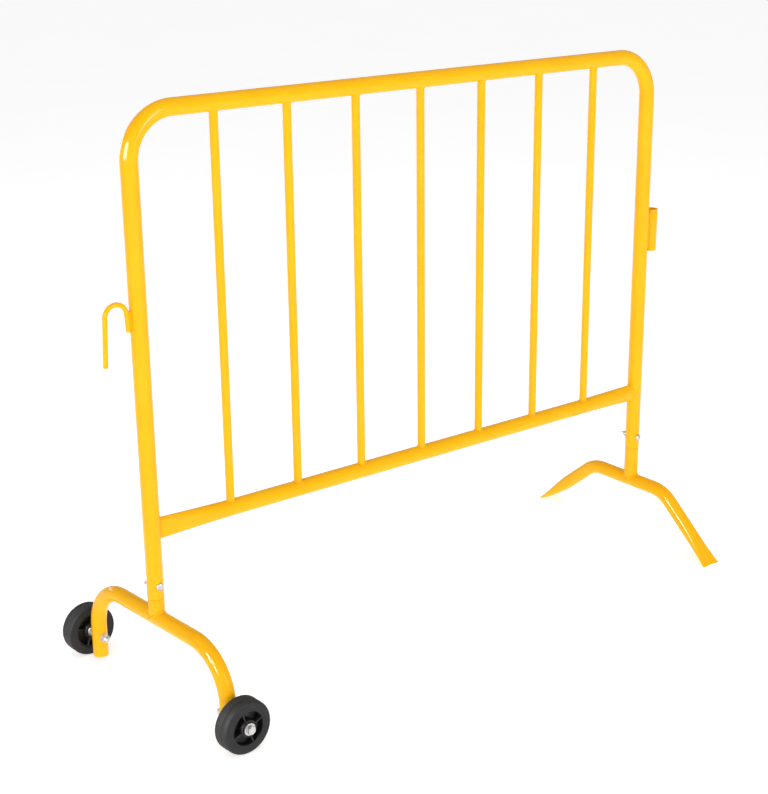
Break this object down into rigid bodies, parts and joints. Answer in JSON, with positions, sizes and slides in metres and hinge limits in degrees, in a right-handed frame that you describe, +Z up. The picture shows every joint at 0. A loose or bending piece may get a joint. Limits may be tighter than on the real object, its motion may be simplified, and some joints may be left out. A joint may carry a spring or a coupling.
{
  "type": "crowd control barrier",
  "caption": "Welded steel tube crowd control barrier with pickets, a hook and a socket on its uprights, a foot on wheels and a foot with flattened tips.",
  "frame": {"origin": "on the floor, in the middle of the footprint", "axes": "+X along the panel from the hook end to the socket end, +Y to the back, +Z up"},
  "size_m": [1.3784, 0.5684, 1.1169],
  "materials": {
    "yellow_powder_coat": "glossy powder coat",
    "zinc_plated_steel": "bright zinc plate",
    "black_rubber": "moulded rubber",
    "black_plastic": "moulded plastic"
  },
  "bodies": {
    "barrier": {"frame_hoop": "yellow_powder_coat", "bottom_rail": "yellow_powder_coat", "picket_1": "yellow_powder_coat", "picket_2": "yellow_powder_coat", "picket_3": "yellow_powder_coat", "picket_4": "yellow_powder_coat", "picket_5": "yellow_powder_coat", "picket_6": "yellow_powder_coat", "picket_7": "yellow_powder_coat", "coupling_hook": "yellow_powder_coat", "coupling_socket": "yellow_powder_coat", "wheel_foot_arch": "yellow_powder_coat", "wheel_foot_stub": "yellow_powder_coat", "wheel_foot_spigot": "zinc_plated_steel", "wheel_foot_bolt": "zinc_plated_steel", "plain_foot_arch": "yellow_powder_coat", "plain_foot_stub": "yellow_powder_coat", "plain_foot_spigot": "zinc_plated_steel", "plain_foot_bolt": "zinc_plated_steel", "front_wheel_sleeve": "zinc_plated_steel", "front_wheel_axle_bolt": "zinc_plated_steel", "front_wheel_head_washer": "zinc_plated_steel", "front_wheel_inner_washer": "zinc_plated_steel", "front_wheel_jam_nut": "zinc_plated_steel", "front_wheel_leg_washer": "zinc_plated_steel", "front_wheel_lock_washer": "zinc_plated_steel", "front_wheel_lock_nut": "zinc_plated_steel", "back_wheel_sleeve": "zinc_plated_steel", "back_wheel_axle_bolt": "zinc_plated_steel", "back_wheel_head_washer": "zinc_plated_steel", "back_wheel_inner_washer": "zinc_plated_steel", "back_wheel_jam_nut": "zinc_plated_steel", "back_wheel_leg_washer": "zinc_plated_steel", "back_wheel_lock_washer": "zinc_plated_steel", "back_wheel_lock_nut": "zinc_plated_steel"},
    "front_wheel": {"front_wheel_tyre": "black_rubber", "front_wheel_hub": "black_plastic"},
    "back_wheel": {"back_wheel_tyre": "black_rubber", "back_wheel_hub": "black_plastic"},
    "wheel_foot_wing_washer": {"wheel_foot_wing_washer": "zinc_plated_steel"},
    "wheel_foot_wing_nut": {"wheel_foot_wing_nut": "zinc_plated_steel"},
    "plain_foot_wing_washer": {"plain_foot_wing_washer": "zinc_plated_steel"},
    "plain_foot_wing_nut": {"plain_foot_wing_nut": "zinc_plated_steel"}
  },
  "joints": [
    {"name": "front_wheel_spin", "type": "hinge", "parent": "barrier", "child": "front_wheel", "pos_m": [-0.59704, -0.25687, 0.051], "axis": [-0.0698, 0.9976, 0], "continuous": true},
    {"name": "back_wheel_spin", "type": "hinge", "parent": "barrier", "child": "back_wheel", "pos_m": [-0.63296, 0.25687, 0.051], "axis": [-0.0698, 0.9976, 0], "continuous": true},
    {"name": "wheel_foot_wing_nut_travel", "type": "slide", "parent": "barrier", "child": "wheel_foot_wing_washer", "axis": [0, 1, 0], "range_m": [0, 0.005]},
    {"name": "wheel_foot_wing_nut_turn", "type": "hinge", "parent": "wheel_foot_wing_washer", "child": "wheel_foot_wing_nut", "pos_m": [-0.615, 0.0186, 0.236], "axis": [0, 1, 0], "range_deg": [0, 1800]},
    {"name": "plain_foot_wing_nut_travel", "type": "slide", "parent": "barrier", "child": "plain_foot_wing_washer", "axis": [0, 1, 0], "range_m": [0, 0.005]},
    {"name": "plain_foot_wing_nut_turn", "type": "hinge", "parent": "plain_foot_wing_washer", "child": "plain_foot_wing_nut", "pos_m": [0.645, 0.0186, 0.236], "axis": [0, 1, 0], "range_deg": [0, 1800]}
  ],
  "couplings": [
    {"joint": "wheel_foot_wing_nut_travel", "follows": "wheel_foot_wing_nut_turn", "m_per_rad": 0.00015915},
    {"joint": "plain_foot_wing_nut_travel", "follows": "plain_foot_wing_nut_turn", "m_per_rad": 0.00015915}
  ]
}
